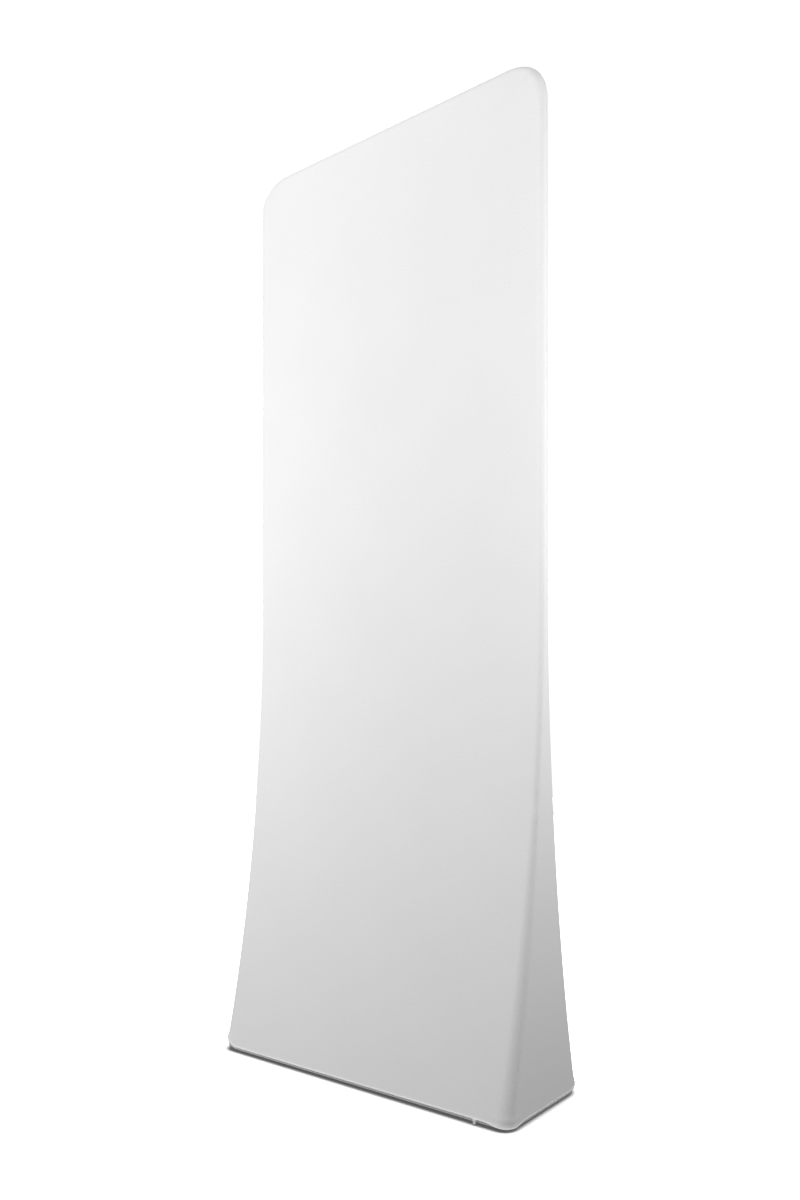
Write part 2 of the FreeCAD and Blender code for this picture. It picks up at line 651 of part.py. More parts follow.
def make_crossbar():
    """Strut between the uprights, with an end plug whose peg drops into each upright."""
    def level_frame(side, reach):
        height = amount("Worked.crossbar_height")
        return frame_at(Vector(side * reach, 0, height), UP, Vector(side, 0, 0))

    end = amount("Worked.crossbar_end")
    tube = straight_tube("crossbar", level_frame(1, -end), "Worked.crossbar_radius",
                         "Worked.crossbar_bore", "2 * Worked.crossbar_end")
    name_node(tube, "crossbar")
    for side_name, side in SIDES:
        name = f"crossbar_plug_{side_name}"
        grip = add("Part::Cylinder", f"{name}_grip", level_frame(side, end - amount("Sizes.plug_grip")),
                   Radius="Worked.crossbar_bore - Sizes.plug_clearance", Height="Sizes.plug_grip")
        collar = add("Part::Cylinder", f"{name}_collar", level_frame(side, end),
                     Radius="Worked.crossbar_radius", Height="Sizes.plug_collar + Worked.tube_radius")
        saddle = add("Part::Cylinder", f"{name}_saddle",
                     post_frame(side, amount("Worked.crossbar_height - Sizes.tube_diameter")),
                     Radius="Worked.tube_radius + Sizes.plug_clearance", Height="2 * Sizes.tube_diameter")
        seated = combine("Part::Cut", f"{name}_seated", collar, saddle)
        peg = add("Part::Cylinder", f"{name}_peg", level_frame(side, end),
                  Radius="Worked.peg_radius", Height="Sizes.plug_collar + Sizes.tube_wall + Sizes.peg_reach")
        name_node(fuse(f"{name}_all", [grip, seated, peg]), name)


# Base

def corner_places(x, y):
    return [Vector(side * amount(x), end * amount(y), 0) for _, side in SIDES for _, end in ENDS]


def feet_places():
    return corner_places("Worked.foot_x", "Worked.foot_y")


def bored(name, solid, places, radius, low, high, kind="Part::Cylinder", top_radius=None):
    """Cuts upright holes, or countersinks if kind is a cone, between two heights."""
    for number, place in enumerate(places, start=1):
        spot = Placement(Vector(place.x, place.y, amount(low)), Rotation())
        height = f"({high}) - ({low})"
        if kind == "Part::Cone":
            drill = add(kind, f"{name}_sink{number}", spot, Radius1=radius, Radius2=top_radius, Height=height)
        else:
            drill = add(kind, f"{name}_bore{number}", spot, Radius=radius, Height=height)
        solid = combine("Part::Cut", f"{name}_{drill.Name}", solid, drill)
    return solid


def make_base():
    posts = [post_foot(side, end) for _, side in SIDES for _, end in ENDS]
    screw_hole = "Sizes.post_screw / 2 + Sizes.screw_clearance"
    head_hole = "Sizes.post_screw_head / 2 + Sizes.screw_clearance"
    sink_top = "Worked.flap_top + (Sizes.post_screw_head - Sizes.post_screw) / 2"
    foot_hole = "Sizes.foot_screw / 2 + Sizes.screw_clearance"
    plate = slab("base_plate_blank", "Worked.plate_width", "Worked.plate_depth", "Sizes.plate_thickness",
                 "Worked.plate_corner", "Worked.flap_top")
    plate = bored("plate_post", plate, posts, screw_hole, "Worked.flap_top", "Worked.plate_top")
    plate = bored("plate_sunk", plate, posts, head_hole, "Worked.flap_top", sink_top,
                  "Part::Cone", screw_hole)
    plate = bored("plate_foot", plate, feet_places(), foot_hole, "Worked.flap_top", "Worked.plate_top")
    name_node(plate, "base_plate")

    flap = slab("base_flap_blank", "Sizes.overall_width", "Sizes.base_depth", "Sizes.fabric_thickness",
                "Sizes.hem_corner", "Sizes.foot_height")
    flap = bored("flap_foot", flap, feet_places(), foot_hole, "Sizes.foot_height", "Worked.flap_top")
    name_node(flap, "base_flap")

    screws = []
    for number, place in enumerate(posts, start=1):
        spot = Vector(place.x, place.y, amount("Worked.flap_top"))
        head = add("Part::Cone", f"post_screw{number}_head", Placement(spot, Rotation()),
                   Radius1="Sizes.post_screw_head / 2", Radius2="Sizes.post_screw / 2",
                   Height="(Sizes.post_screw_head - Sizes.post_screw) / 2")
        shank = add("Part::Cylinder", f"post_screw{number}_shank", Placement(spot, Rotation()),
                    Radius="Sizes.post_screw / 2", Height="Sizes.plate_thickness + Sizes.post_screw_depth")
        screws.append(fuse(f"post_screw{number}", [head, shank]))
    name_node(group("post_screws_all", screws), "post_screws")


def make_feet():
    """Tapered rubber feet; their screws clamp the flap to the plate."""
    screws = []
    names = [f"foot_{end}_{side}" for side, _ in SIDES for end, _ in ENDS]
    for name, place in zip(names, feet_places()):
        pad_solid = add("Part::Cone", f"{name}_pad", Placement(place, Rotation()),
                        Radius1="Worked.foot_radius - Sizes.foot_taper", Radius2="Worked.foot_radius",
                        Height="Sizes.foot_height")
        foot = bored(name, pad_solid, [place], "Sizes.foot_screw / 2 + Sizes.screw_clearance",
                     "0", "Sizes.foot_height")
        foot = bored(f"{name}_recess", foot, [place], "Sizes.foot_screw_head / 2 + Sizes.screw_clearance",
                     "0", "Sizes.foot_recess")
        name_node(foot, name)
        seat = Vector(place.x, place.y, amount("Sizes.foot_recess - Sizes.foot_screw_head_height"))
        head = add("Part::Cylinder", f"{name}_screw_head", Placement(seat, Rotation()),
                   Radius="Sizes.foot_screw_head / 2", Height="Sizes.foot_screw_head_height")
        shank = add("Part::Cylinder", f"{name}_screw_shank", Placement(seat, Rotation()),
                    Radius="Sizes.foot_screw / 2",
                    Height="Worked.plate_top - Sizes.foot_recess + Sizes.foot_screw_head_height")
        screws.append(fuse(f"{name}_screw", [head, shank]))
    name_node(group("foot_screws_all", screws), "foot_screws")


# Sleeve and zip

def sleeve_form(name, inset):
    """Solid form of the sleeve, shrunk by inset: front outline cut by the flared side outline."""
    body = new_body(name)
    wide = f"(Worked.half_width - {inset})"
    top = f"(Sizes.overall_height - {inset})"
    corner = f"(Worked.sleeve_corner - {inset})"
    thick = f"(Worked.skin_radius - {inset})"
    shoulder = f"({top} - {corner})"
    inner_x = f"({wide} - {corner})"
    front = new_sketch(body, "XZ_Plane", f"{name}_front")
    outline(
        front,
        [(f"-{wide}", "Worked.hem"), (wide, "Worked.hem"), (wide, shoulder),
         (inner_x, top), (f"-{inner_x}", top), (f"-{wide}", shoulder)],
        {2: (inner_x, shoulder, "DistanceX"), 4: (f"-{inner_x}", shoulder, "DistanceX")},
    )
    pad(body, front, "2 * Sizes.base_depth", symmetric=True)
    above = "(Sizes.overall_height + Sizes.tube_diameter)"
    far = "(2 * Sizes.base_depth)"
    bend = f"(Worked.skin_bend + {inset})"
    waist = f"(Worked.skin_centre - sqrt({bend} ^ 2 - (Sizes.flare_height - Sizes.joint_height) ^ 2))"
    foot = f"(Worked.skin_centre - sqrt({bend} ^ 2 - Sizes.flare_height ^ 2))"
    centre = ("Worked.skin_centre", "Sizes.flare_height", "DistanceY")
    for sign in ("-", ""):
        side = new_sketch(body, "YZ_Plane", f"{name}_flare{'_front' if sign else '_rear'}")
        outline(
            side,
            [(f"{sign}{thick}", above), (f"{sign}{thick}", "Sizes.flare_height"),
             (f"{sign}{waist}", "Sizes.joint_height"), (f"{sign}{foot}", "0"),
             (f"{sign}{far}", "0"), (f"{sign}{far}", above)],
            {1: (sign + centre[0], *centre[1:]), 2: (sign + centre[0], *centre[1:])},
        )
        pocket = body.newObject("PartDesign::Pocket", f"{side.Name}_cut")
        pocket.Profile = side
        pocket.Type = "ThroughAll"
        pocket.SideType = "Symmetric"
        pocket.Refine = False
    doc.recompute()
    half = amount(thick) - 0.01
    rounded = doc.addObject("Part::Fillet", f"{name}_edges")
    rounded.Base = body
    rounded.Edges = [(number, *edge_radii(edge, inset))
                     for number, edge in enumerate(body.Shape.Edges, start=1) if is_outline(edge, half)]
    return rounded


def edge_radii(edge, inset):
    """Rounding at an edge's two ends: the tube's, growing to the hem's corner below the leg joint."""
    tight = amount(f"Worked.sleeve_edge - {inset}")
    wide = amount(f"Sizes.hem_corner - {inset}")
    first = edge.valueAt(edge.FirstParameter).z
    last = edge.valueAt(edge.LastParameter).z
    if max(first, last) > amount("Sizes.joint_height") + 1:
        return tight, tight
    return (tight, wide) if first > last else (wide, tight)


def is_outline(edge, half):
    """True for the edges round the front and rear faces, apart from the hem's."""
    middle = edge.valueAt((edge.FirstParameter + edge.LastParameter) / 2)
    above_hem = middle.z > amount("Worked.hem") + 1
    across = abs(middle.x) < 1 and middle.z < amount("Worked.top_axis")
    return abs(middle.y) > half and above_hem and not across


def make_sleeve():
    """Front and rear panels and two gussets, cut from one skin along the seams."""
    skin = combine("Part::Cut", "sleeve_skin", sleeve_form("sleeve_outside", "0"),
                   sleeve_form("sleeve_inside", "Sizes.fabric_thickness"))
    seam = "(Worked.half_width - Sizes.seam_inset)"
    wide = "Sizes.overall_width"
    deep = "Sizes.base_depth"
    tall = "Sizes.overall_height + Sizes.tube_diameter"
    regions = {
        "sleeve_front_panel": ((f"-{seam}", f"-{deep}", "0"), (seam, "0", tall)),
        "sleeve_rear_panel": ((f"-{seam}", "0", "0"), (seam, deep, tall)),
        "sleeve_gusset_left": ((f"-{wide}", f"-{deep}", "0"), (f"-{seam}", deep, tall)),
        "sleeve_gusset_right": ((seam, f"-{deep}", "0"), (wide, deep, tall)),
    }
    for label, (start, finish) in regions.items():
        name_node(combine("Part::Common", f"{label}_cut", skin, bar(f"{label}_region", start, finish)), label)


def make_zip():
    """Two zip halves round the hem, one on the flap and one on the sleeve."""
    starts = {"zip_half_flap": "Worked.flap_top", "zip_half_sleeve": "Worked.hem - Sizes.zip_half"}
    for label, start in starts.items():
        outer = slab(f"{label}_outer", "Sizes.overall_width", "Sizes.base_depth", "Sizes.zip_half",
                     "Sizes.hem_corner", start)
        inner = slab(f"{label}_inner", "Sizes.overall_width - 2 * Sizes.zip_thickness",
                     "Sizes.base_depth - 2 * Sizes.zip_thickness", "Sizes.zip_half",
                     "Sizes.hem_corner - Sizes.zip_thickness", start)
        name_node(combine("Part::Cut", f"{label}_ring", outer, inner), label)


def make_slider():
    """Zip slider: front and back plates, the neck that joins them and two ears with a pin."""
    half = "Sizes.slider_length / 2"
    left = f"Worked.slider_x - {half}"
    right = f"Worked.slider_x + {half}"
    clear_front = "-(Worked.half_depth + Sizes.slider_clearance)"
    back_face = "-(Worked.slider_back - Sizes.slider_plate)"
    neck_low = "Worked.zip_mid - Worked.neck_height / 2"
    neck_high = "Worked.zip_mid + Worked.neck_height / 2"
    ear_front = "-(Worked.pin_line + Sizes.puller_pin)"
    ear_low = "Worked.pin_height - Sizes.puller_pin"
    ear_high = "Worked.pin_height + Sizes.puller_pin"
    pieces = [
        bar("slider_front_plate", (left, "-Worked.slider_front", "Worked.slider_foot"),
            (right, clear_front, "Worked.slider_top")),
        bar("slider_back_plate", (left, "-Worked.slider_back", "Worked.flap_top + Sizes.slider_clearance"),
            (right, back_face, "Worked.slider_top")),
        bar("slider_neck", (f"{right} - Sizes.neck_length", "-Worked.slider_front", neck_low),
            (right, back_face, neck_high)),
        bar("slider_ear_left", (left, ear_front, ear_low),
            (f"{left} + Sizes.ear_thickness", "-Worked.slider_front", ear_high)),
        bar("slider_ear_right", (f"{right} - Sizes.ear_thickness", ear_front, ear_low),
            (right, "-Worked.slider_front", ear_high)),
        add("Part::Cylinder", "slider_pin", puller_axis(amount(left)), Radius="Sizes.puller_pin / 2",
            Height="Sizes.slider_length"),
    ]
    name_node(fuse("slider_all", pieces), "zip_slider")


def puller_axis(start):
    """Frame on the puller's pin with Z along +X."""
    origin = Vector(start, -amount("Worked.pin_line"), amount("Worked.pin_height"))
    return frame_at(origin, DOWN, Vector(1, 0, 0))


def make_puller():
    """Short tab that hangs from an eye on the slider's pin."""
    start = puller_axis(amount("Worked.slider_x - Worked.puller_half"))
    eye = add("Part::Cylinder", "puller_eye", start, Radius="Sizes.puller_eye / 2",
              Height="2 * Worked.puller_half")
    tab = bar("puller_tab",
              ("Worked.slider_x - Worked.puller_half", "-(Worked.pin_line + Sizes.puller_thickness / 2)",
               "Worked.pin_height - Sizes.puller_length"),
              ("Worked.slider_x + Worked.puller_half", "-(Worked.pin_line - Sizes.puller_thickness / 2)",
               "Worked.pin_height"))
    blank = fuse("puller_blank", [eye, tab])
    hole = add("Part::Cylinder", "puller_hole", start,
               Radius="Sizes.puller_pin / 2 + Sizes.puller_clearance", Height="2 * Worked.puller_half")
    name_node(combine("Part::Cut", "puller_all", blank, hole), "zip_puller")


for side_name, side in SIDES:
    make_side(side_name, side)
make_top_rail()
make_crossbar()
make_base()
make_feet()
make_sleeve()
make_zip()
make_slider()
make_puller()
name_node(group("snap_springs_all", springs), "snap_springs")
name_node(group("spigot_rivets_all", rivets), "spigot_rivets")
doc.recompute()

failed = [item.Name for item in doc.Objects if {"Invalid", "Error"} & set(item.State)]
if failed:
    raise RuntimeError(f"failed to build: {failed}")
for node in nodes:
    if node.Shape.isNull() or not node.Shape.isValid() or not node.Shape.Solids:
        raise RuntimeError(f"no sound shape: {node.Label}")

os.makedirs("parts", exist_ok=True)
for node in nodes:
    node.Shape.exportStep(f"parts/{node.Label}.step")
    box = node.Shape.BoundBox
    print(f"{node.Label}: {len(node.Shape.Solids)} solids, {node.Shape.Volume:.0f} mm3, "
          f"z {box.ZMin:.1f} to {box.ZMax:.1f}")
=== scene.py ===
"""White stretch-fabric display tower: the sleeve, its zip and the finishes of the frame inside it."""
import json
import math

import bmesh
import bpy
from mathutils import Matrix, Vector


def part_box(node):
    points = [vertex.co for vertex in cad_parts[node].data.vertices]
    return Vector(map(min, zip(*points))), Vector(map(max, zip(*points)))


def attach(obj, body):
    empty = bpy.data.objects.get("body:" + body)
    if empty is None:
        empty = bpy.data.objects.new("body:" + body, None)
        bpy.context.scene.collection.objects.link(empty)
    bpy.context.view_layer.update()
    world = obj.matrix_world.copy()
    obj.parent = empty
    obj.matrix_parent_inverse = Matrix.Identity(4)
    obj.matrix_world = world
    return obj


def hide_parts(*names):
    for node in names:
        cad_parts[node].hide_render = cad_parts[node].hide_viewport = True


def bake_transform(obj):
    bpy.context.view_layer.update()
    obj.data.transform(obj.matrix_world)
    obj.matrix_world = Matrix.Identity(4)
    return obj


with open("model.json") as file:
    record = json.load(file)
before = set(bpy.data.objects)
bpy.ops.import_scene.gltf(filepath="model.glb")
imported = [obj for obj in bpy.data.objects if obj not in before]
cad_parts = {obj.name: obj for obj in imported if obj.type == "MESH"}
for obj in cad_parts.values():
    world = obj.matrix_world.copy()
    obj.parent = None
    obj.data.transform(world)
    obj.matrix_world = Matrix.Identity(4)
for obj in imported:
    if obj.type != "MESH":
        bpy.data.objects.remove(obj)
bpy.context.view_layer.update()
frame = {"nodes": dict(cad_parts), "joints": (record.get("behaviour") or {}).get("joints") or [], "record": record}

# Sizes in metres, read from the frame where it has them
HALF_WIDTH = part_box("sleeve_gusset_right")[1].x
HALF_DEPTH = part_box("sleeve_rear_panel")[1].y
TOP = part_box("sleeve_front_panel")[1].z
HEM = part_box("sleeve_front_panel")[0].z
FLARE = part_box("upright_right")[0].z
FLAP_LOW, FLAP_HIGH = (corner.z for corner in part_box("base_flap"))
FABRIC = FLAP_HIGH - FLAP_LOW
TUBE_RADIUS = 0.016
FRAME_GAP = 0.0004                  # sleeve to frame
SKIN = TUBE_RADIUS + FRAME_GAP + FABRIC
BEND = 0.080                        # centreline radius of the top elbows
JOINT = 0.670                       # where the lower legs plug on
HEM_CORNER = 0.034                  # corner radius of hem, zip and flap from above
SEAM_INSET = 0.005                  # gusset seam inwards from the side
ROLL = 0.020                        # pattern length given to the roll round a tube
CORNER_X = HALF_WIDTH - SKIN - BEND
CORNER_Z = TOP - SKIN - BEND
FLAT = CORNER_X + BEND
REACH = HALF_DEPTH - SKIN
SKIN_BEND = ((FLARE - HEM) ** 2 + REACH ** 2) / (2 * REACH)

# Sewn edges and the way the knit lies
SEAM_RISE = 0.0002          # seam allowance lifting the knit
SEAM_BACK = 0.003           # middle of that lift, from the seam
SEAM_SPREAD = 0.0025
SEAM_LAP = 0.0004           # both edges run on past the seam
LEAN_LAP = 0.003            # and further for each radian round a top corner
GUSSET_TIP = 1.06           # a gusset's tip runs on past the place where its seams meet
LEAST_COSINE = 0.01         # keeps the seam's place finite over the rail
NO_SEAM = 1.0               # distance to the seam where none is near
HEM_LIP = 0.009             # height of the loose lip above the zip
LIP_STAND = 0.0002          # lip standing off the zip
LIP_OVER = 0.0016           # and further where it hangs over it
PUCKER_RISE = 0.0010        # fold of knit above each hem corner
PUCKER_UP = 0.014           # middle of that fold above the hem
PUCKER_SPREAD = 0.006
RIDE_RUN = 0.050            # height over which a corner that rides up or hangs fades out
CORNER_RIDE = {             # how far the hem rides up and over which run, by the corner's x and y side
    (-1, -1): (0.018, 0.046),
    (1, -1): (-0.006, 0.065),
    (1, 1): (0.010, 0.048),
    (-1, 1): (0.010, 0.048),
}
TUCK = 0.0022               # how far the flap's edge lies in under the hem
RIM_RISE = 0.0013           # leg joint printing through
RIM_SPREAD = 0.006
SWELL = 0.006               # knit standing off below the top corners
SWELL_DROP = 0.035          # middle of that swell, below the rail's axis
SWELL_SPREAD = 0.040
SWELL_MIDDLE = 0.3          # share of it that is left half way along the rail
CORNER_PUSH = 0.004         # knit standing off round the top corners, cut squarer than the elbows

# Rows of cells up the sleeve to the top corners, as (length, cells)
FOLD_RUN = 0.040            # height of the finer rows above the lip
HEM_ROWS = ((HEM_LIP, 6), (FOLD_RUN, 16), (CORNER_Z - HEM - HEM_LIP - FOLD_RUN, 186))

# Zip, piping, flap and springs
TAPE_INSET = 0.0001         # zip tape in from the hem's outline
TAPE_THICKNESS = 0.0011
TOOTH_PITCH = 0.0025
TOOTH_SIZE = (0.0016, 0.0013, 0.0010)   # along the hem, outwards and upwards
TOOTH_INSET = 0.0006        # middle of a tooth in from the hem's outline
TOOTH_BACK = 0.0003         # and back from the edge of its tape
PIPING_RADIUS = 0.0011
FLAP_RIM = 0.004            # edge of the flap that follows the zip
SCREW_HOLE = 0.0032         # radius of the flap's holes for the foot screws
MERGE = 0.00001             # points nearer than this are one

# Knit and topstitching
WALE = 0.0008               # pitch of the knit's upright ribs
COURSE = 0.0006             # and of its rows
CLOUD_SHARE = 0.25          # share of the heather that is wide clouds, the rest being specks
STITCH_LINE = 0.004         # topstitching from the seam
STITCH_HALF = 0.0005        # half the width of its line
STITCH_PITCH = 0.0030
STITCH_GAP = 0.35           # the line is bare where the wave along it is lower
MOST_FROM, MOST_TO = 0.3, 0.7       # most of a noise's values lie between these
WAVE_TURN = 20              # radians that a wave texture runs in a metre at a scale of one

# Studio
FLOOR_HALF = 8.0
SHADE_REACH = 0.045         # how near the hem the floor's painted contact shadow reaches
# Painted contact shadow: the floor's colour is its occlusion near the hem, raised to this power.
SHADE_POWER = 2.0
# Painted glow: the floor gives off a little light of its own, lifting its darkest painted shade.
FLOOR_GLOW = 0.08
SOFT_LIGHT = 0.28           # light from all round
BACKGROUND = 1.3            # brightness of the white behind the tower
FLOOR_LIGHT = 9.0
FLOOR_LIGHT_ANGLE = 60      # degrees, for a soft edge
FLOOR_LIGHT_WAY = (0.2, -0.65, -0.7)
SOFTBOXES = (               # name, place, aim, side, watts
    ("front_softbox", (-1.25, -1.9, 1.5), (-0.25, 0, 1.45), 1.0, 35.5),
    ("top_softbox", (-0.15, -1.0, 3.35), (0, 0, 2.2), 0.8, 9.2),
    ("side_softbox", (1.75, 0.8, 1.35), (0.45, 0, 1.3), 0.6, 9.8),
    ("edge_softbox", (1.4, -0.6, 1.4), (0.45, 0, 1.4), 0.4, 5.8),
    ("corner_softbox", (1.5, -0.35, 2.25), (0.45, 0, 2.1), 0.4, 5.4),
    ("back_softbox", (-0.6, 2.6, 1.6), (0, 0, 1.4), 1.0, 22),
)
PICTURE_WIDE, PICTURE_TALL = 800, 1200      # pixels
FOCAL = 970.0                               # pixels
MIDDLE_X, MIDDLE_Y = 398.7, 721.0           # pixel that the camera looks straight at
SENSOR = 36.0                               # millimetres
CAMERA_PLACE = (1.5286, -1.9279, 0.8790)
CAMERA_TURN = 0.6615                        # radians


# Fabric shapes

def front_line(z):
    """From the middle plane to the front of the sleeve."""
    if z >= FLARE:
        return SKIN
    return SKIN + SKIN_BEND - math.sqrt(SKIN_BEND ** 2 - (FLARE - z) ** 2)


def edge_radius(z):
    """Rounding of the upright edges: the tube's, growing to the hem's corner below the leg joint."""
    share = max(0.0, (JOINT - z) / (JOINT - HEM))
    return SKIN + (HEM_CORNER - SKIN) * share


def seam_roll(radius, lean=0.0):
    """Angle round an upright edge where the gusset seam lies, for a place this far round the top corner."""
    reach = (BEND + radius - SEAM_INSET) / max(math.cos(lean), LEAST_COSINE) - BEND
    return math.asin(min(1.0, reach / radius))


def seam_lift(distance, radius):
    """Ridge beside a seam, flatter where the edge is rounder."""
    return SEAM_RISE * (SKIN / radius) ** 2 * math.exp(-((distance - SEAM_BACK) / SEAM_SPREAD) ** 2)


def joint_rim(z):
    """A slight ring in the knit over the ends of the lower legs."""
    return RIM_RISE * math.exp(-((z - JOINT) / RIM_SPREAD) ** 2)


def by_corner(distance, run):
    """One at the middle of a hem corner, easing to nothing along the run beside it."""
    share = max(0.0, 1 - distance / run)
    return share * share * (3 - 2 * share)


def from_middle(roll, run):
    """Way along the hem from the middle of a corner, by the angle round it or the run past its end."""
    if run > 0:
        return HEM_CORNER * math.pi / 4 + run
    return HEM_CORNER * abs(math.pi / 4 - roll)


def hem_lie(z, distance, corner):
    """How far the knit stands off near the hem, and how far it rides up."""
    ride, run = CORNER_RIDE[corner]
    share = by_corner(distance, run)
    lip = max(0.0, 1 - (z - HEM) / HEM_LIP) ** 2
    stand = LIP_STAND + (LIP_OVER * math.sqrt(share) if ride < 0 else 0.0)
    fold = PUCKER_RISE * share * math.exp(-((z - HEM - PUCKER_UP) / PUCKER_SPREAD) ** 2)
    return stand * lip + fold, share * ride * max(0.0, 1 - (z - HEM) / RIDE_RUN) ** 2


def hem_ride(x, y):
    """How far the hem rides up at a place along it, and how far it stands off."""
    past_x = abs(x) - (HALF_WIDTH - HEM_CORNER)
    past_y = abs(y) - (HALF_DEPTH - HEM_CORNER)
    roll = math.atan2(max(past_x, 0.0), max(past_y, 0.0))
    distance = from_middle(roll, -min(past_x, past_y))
    corner = (1 if x > 0 else -1, 1 if y > 0 else -1)
    stand, ride = hem_lie(HEM, distance, corner)
    return ride, stand


def zip_ride(x, y):
    """How far the zip and the flap's edge follow the hem up."""
    return max(0.0, hem_ride(x, y)[0])


def top_swell(out, z):
    """The knit stands off a little under the top rail, most of all towards the corners."""
    below = (CORNER_Z + BEND - SWELL_DROP - z) / SWELL_SPREAD
    towards_side = SWELL_MIDDLE + (1 - SWELL_MIDDLE) * (out / FLAT) ** 2
    return SWELL * towards_side * math.exp(-below ** 2)


def corner_push(lean):
    """How far the knit stands off round a top corner, most of all half way round it."""
    return CORNER_PUSH * math.sin(2 * lean) ** 2


def along(runs, step):
    """Place of a grid line, counted through runs of (length, cells)."""
    place = 0.0
    for length, cells in runs:
        if step <= cells:
            return place + length * step / cells
        place += length
        step -= cells
    return place


def cells_in(runs):
    """Number of cells in runs of (length, cells)."""
    return sum(cells for _, cells in runs)


def pattern_grid(columns, rows, placed):
    """A grid laid on the pattern's lines, mapped to its place, with pattern and seam distance kept."""
    bm = bmesh.new()
    across, up = cells_in(columns), cells_in(rows)
    bmesh.ops.create_grid(bm, x_segments=across, y_segments=up, size=1.0)
    pattern = bm.loops.layers.uv.new("pattern")
    to_seam = bm.verts.layers.float.new("to_seam")
    for vert in bm.verts:
        p = along(columns, (vert.co.x + 1) / 2 * across)
        q = along(rows, (vert.co.y + 1) / 2 * up)
        vert.co, flat, vert[to_seam] = placed(p, q)
        for loop in vert.link_loops:
            loop[pattern].uv = flat
    for face in bm.faces:
        face.smooth = True
    return bm


def on_front(p, q, y_side):
    """Front panel: p across from the left edge, q up from the hem. The rear one is made facing front too."""
    across = p - FLAT - ROLL
    side = math.copysign(1.0, across)
    out = abs(across)
    beyond = out - CORNER_X
    height = q + HEM
    above = height - CORNER_Z
    radial = max(beyond, above)
    lean = math.atan2(above, max(beyond, 0.0)) if above > 0 else 0.0
    radius = edge_radius(height)
    limit = seam_roll(radius, lean)
    rolled = max(0.0, radial - BEND) / ROLL
    roll = rolled * (limit + SEAM_LAP / radius)
    from_seam = abs(limit - roll) * radius if roll > 0 else NO_SEAM
    lift, ride = hem_lie(height, from_middle(roll, FLAT - out), (int(side), y_side))
    lift += top_swell(min(out, FLAT), height) * max(0.0, 1 - roll / limit) ** 2
    if roll > 0:
        lift += seam_lift(from_seam, radius) + joint_rim(height) * math.sin(2 * roll)
    skin = radius + lift
    reach = min(radial, BEND) + skin * math.sin(roll)
    x, z = out, height
    if above > 0 and radial > 0:
        if beyond > 0:
            reach += corner_push(lean) * (radial / (BEND + ROLL)) ** 2
        x = CORNER_X + reach * math.cos(lean) if beyond > 0 else out
        z = CORNER_Z + reach * math.sin(lean)
    elif beyond > BEND:
        x = HALF_WIDTH - radius + skin * math.sin(roll)
    else:
        x = out * (HALF_WIDTH - radius) / FLAT
    y = -(front_line(z) - radius + skin * math.cos(roll))
    return Vector((side * x, y, z + ride)), (across, q), from_seam


def on_gusset(p, q, x_side):
    """Gusset: p is the share of the way from the front seam to the rear one, q up from the hem."""
    lean = max(0.0, q + HEM - CORNER_Z) / (BEND + SKIN)
    height = min(q + HEM, CORNER_Z)
    radius = edge_radius(height)
    limit = seam_roll(radius, lean)
    arc = (math.pi / 2 - limit) * radius
    straight = front_line(height) - radius
    girth = 2 * (arc + straight)
    lap = SEAM_LAP + LEAN_LAP * lean
    near = min(p, 1 - p) * (girth + 2 * lap) - lap
    corner = (x_side, -1 if p < 0.5 else 1)
    lift, ride = hem_lie(height, from_middle(limit + near / radius, near - arc), corner)
    skin = radius + lift + seam_lift(abs(near), radius)
    if near < arc:
        roll = limit + near / radius
        skin += joint_rim(height) * math.sin(2 * roll)
        y = -(straight + skin * math.cos(roll))
        out = skin * math.sin(roll)
    else:
        y = near - arc - straight
        out = skin
    if p > 0.5:
        y = -y
    place = Vector((HALF_WIDTH - radius + out, y, height + ride))
    if lean > 0:
        reach = BEND + out + corner_push(lean)
        place = Vector((CORNER_X + reach * math.cos(lean), y, CORNER_Z + reach * math.sin(lean)))
    return place, ((p - 0.5) * girth, q), near


def mirrored(bm, axis):
    """The mesh on the other side of the middle plane, faces still outwards."""
    bmesh.ops.scale(bm, verts=bm.verts, vec=[-1 if name == axis else 1 for name in "xyz"])
    bmesh.ops.reverse_faces(bm, faces=bm.faces)
    return bm


def loose_piece(name, bm, finish, stands_for=()):
    """An object that rides nothing yet."""
    mesh = bpy.data.meshes.new(name)
    bm.to_mesh(mesh)
    bm.free()
    piece = bpy.data.objects.new(name, mesh)
    bpy.context.scene.collection.objects.link(piece)
    mesh.materials.append(finish)
    if stands_for:
        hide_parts(*stands_for)
    return piece


def make_piece(name, bm, body, finish, stands_for=()):
    """An object that rides on one body."""
    piece = loose_piece(name, bm, finish, stands_for)
    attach(piece, body)
    return piece


def give_thickness(piece, thickness):
    """The sheet's thickness, inwards from its face."""
    wall = piece.modifiers.new("thickness", "SOLIDIFY")
    wall.thickness = thickness
    wall.offset = -1.0


def panel_mesh(y_side):
    """Front or rear panel, from gusset to gusset and from the hem over the rail."""
    columns = ((ROLL, 12), (BEND, 16), (2 * CORNER_X, 48), (BEND, 16), (ROLL, 12))
    return pattern_grid(columns, HEM_ROWS + ((BEND, 20), (ROLL, 12)), lambda p, q: on_front(p, q, y_side))


def gusset_mesh(x_side):
    """Gusset from the hem to its tip at the top corner."""
    end_lean = GUSSET_TIP * math.acos((BEND + SKIN - SEAM_INSET) / (BEND + SKIN))
    rows = HEM_ROWS + ((end_lean * (BEND + SKIN), 12),)
    return pattern_grid(((1.0, 48),), rows, lambda p, q: on_gusset(p, q, x_side))


def make_sleeve(knit):
    """Front and rear panels and two gussets, each a sheet with its thickness inwards."""
    shapes = {
        "front_panel": panel_mesh(-1),
        "rear_panel": mirrored(panel_mesh(1), "y"),
        "gusset_right": gusset_mesh(1),
        "gusset_left": mirrored(gusset_mesh(-1), "x"),
    }
    sheets = {}
    for name, bm in shapes.items():
        sheets[name] = make_piece(f"knit_{name}", bm, "sleeve", knit, [f"sleeve_{name}"])
        give_thickness(sheets[name], FABRIC)


# Zip and flap

